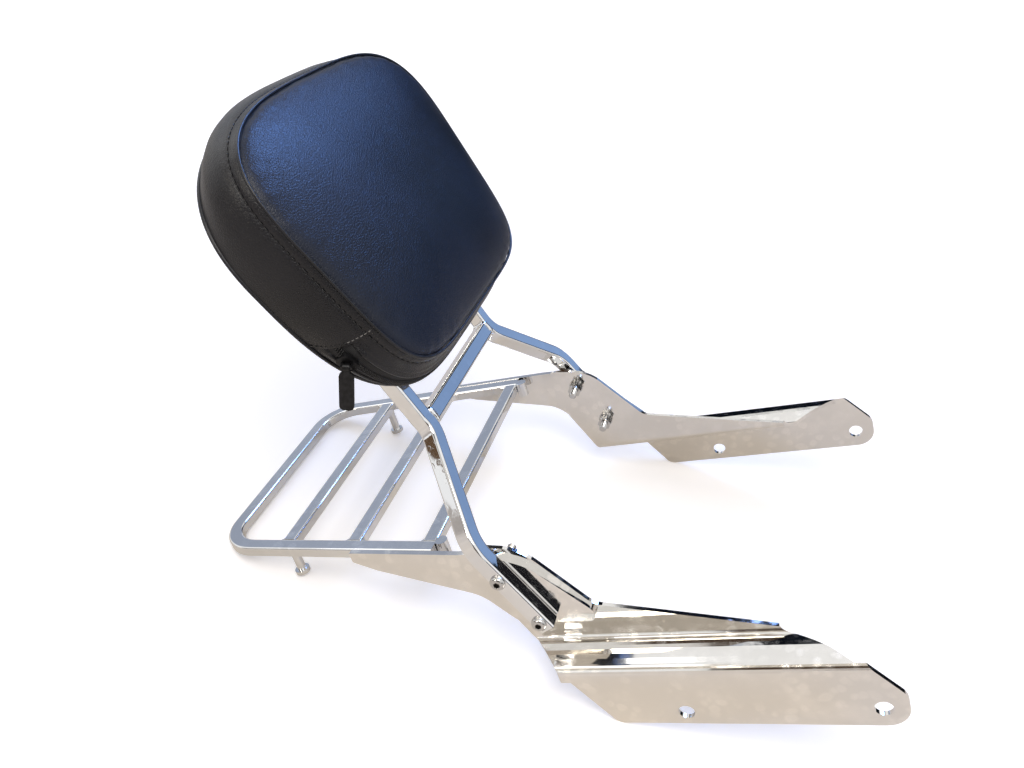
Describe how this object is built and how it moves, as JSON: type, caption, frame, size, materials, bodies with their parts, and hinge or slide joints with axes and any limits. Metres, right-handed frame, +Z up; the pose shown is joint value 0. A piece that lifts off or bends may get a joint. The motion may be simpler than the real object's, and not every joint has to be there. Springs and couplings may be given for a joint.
{
  "type": "sissy bar",
  "caption": "Backrest for a motorbike passenger: stitched leather pad on a bent square bar frame, with a small luggage rack and two folded side brackets.",
  "frame": {"origin": "middle of the bounding box at floor level, as the object rests on its rack and bracket heels", "axes": "+X to the front of the bike, +Y to its left, +Z up from the floor"},
  "size_m": [0.4802, 0.299, 0.3422],
  "materials": {
    "polished_metal": "mirror polished",
    "fastener_metal": "polished",
    "cover_leather": "semi-gloss grain",
    "piping_leather": "semi-gloss",
    "zip_black": "satin",
    "board_wood": "raw",
    "pad_foam": "matt"
  },
  "bodies": {
    "root": {"leg_right": "polished_metal", "leg_left": "polished_metal", "crossbar": "polished_metal", "upper_hoop": "polished_metal", "pad_strap_lower": "polished_metal", "pad_strap_upper": "polished_metal", "rack_rail": "polished_metal", "rack_bar_rear": "polished_metal", "rack_bar_middle": "polished_metal", "rack_bar_front": "polished_metal", "rack_plate_right": "polished_metal", "rack_plate_left": "polished_metal", "rack_boss_right": "polished_metal", "rack_boss_left": "polished_metal", "support_stud_right": "polished_metal", "support_stud_left": "polished_metal", "bracket_right": "polished_metal", "bracket_left": "polished_metal", "leg_bolts": "fastener_metal", "leg_washers": "fastener_metal", "leg_lock_washers": "fastener_metal", "leg_nuts": "fastener_metal", "pad_board": "board_wood", "pad_foam": "pad_foam", "pad_front_panel": "cover_leather", "pad_side_band": "cover_leather", "pad_back_panel": "cover_leather", "pad_front_piping": "piping_leather", "pad_back_piping": "piping_leather", "zip_tape": "zip_black", "zip_coil": "zip_black", "zip_slider": "zip_black", "pad_bolts": "fastener_metal", "pad_washers": "fastener_metal", "pad_tee_nuts": "fastener_metal"},
    "zip_tab": {"zip_pull": "zip_black"}
  },
  "joints": [
    {"name": "zip_pull_swing", "type": "hinge", "parent": "root", "child": "zip_tab", "pos_m": [-0.1174, -0.12831, 0.21204], "axis": [-0.9676, -0.2525, 0], "range_deg": [-5, 80]}
  ]
}
